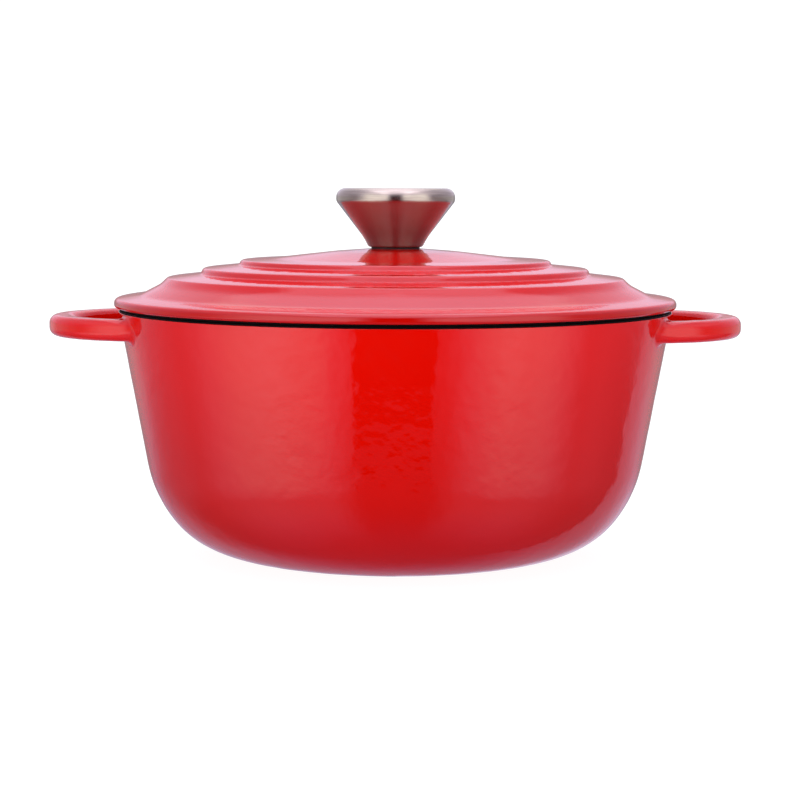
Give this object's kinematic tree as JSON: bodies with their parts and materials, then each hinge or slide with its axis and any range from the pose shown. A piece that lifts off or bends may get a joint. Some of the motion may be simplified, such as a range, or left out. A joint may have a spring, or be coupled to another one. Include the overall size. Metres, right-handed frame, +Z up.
{
  "type": "cast iron dutch oven",
  "caption": "Round enamelled cast iron dutch oven with a stepped lift-off lid, a flared steel knob held by a screw, and a loop handle on each side.",
  "frame": {"origin": "centre of the foot ring's underside, on the axis of the pot", "axes": "+Z up along the axis of the pot, lid and knob; +X towards the right handle, so the two handles lie along X"},
  "size_m": [0.332, 0.2684, 0.1742],
  "materials": {
    "ground_coat": "matte",
    "exterior_enamel": "gloss",
    "interior_enamel": "gloss",
    "enamelled_iron": "gloss",
    "brushed_steel": "satin",
    "plain_steel": "satin",
    "seat_rubber": "matte"
  },
  "bodies": {
    "pot": {"pot_casting": "ground_coat", "pot_exterior_enamel": "exterior_enamel", "pot_interior_enamel": "interior_enamel", "handle_left": "enamelled_iron", "handle_right": "enamelled_iron"},
    "lid": {"lid_casting": "ground_coat", "lid_exterior_enamel": "exterior_enamel", "lid_interior_enamel": "interior_enamel"},
    "knob": {"knob_shell": "brushed_steel", "knob_cap": "brushed_steel", "knob_insert": "plain_steel", "knob_seat_ring": "seat_rubber", "knob_screw": "plain_steel", "flat_washer": "plain_steel", "spring_washer": "plain_steel"}
  },
  "joints": [
    {"name": "lid_lift", "type": "slide", "parent": "pot", "child": "lid", "axis": [0, 0, 1], "range_m": [0, 0.16]},
    {"name": "knob_turn", "type": "hinge", "parent": "lid", "child": "knob", "pos_m": [0, 0, 0.1462], "axis": [0, 0, 1], "continuous": true}
  ]
}
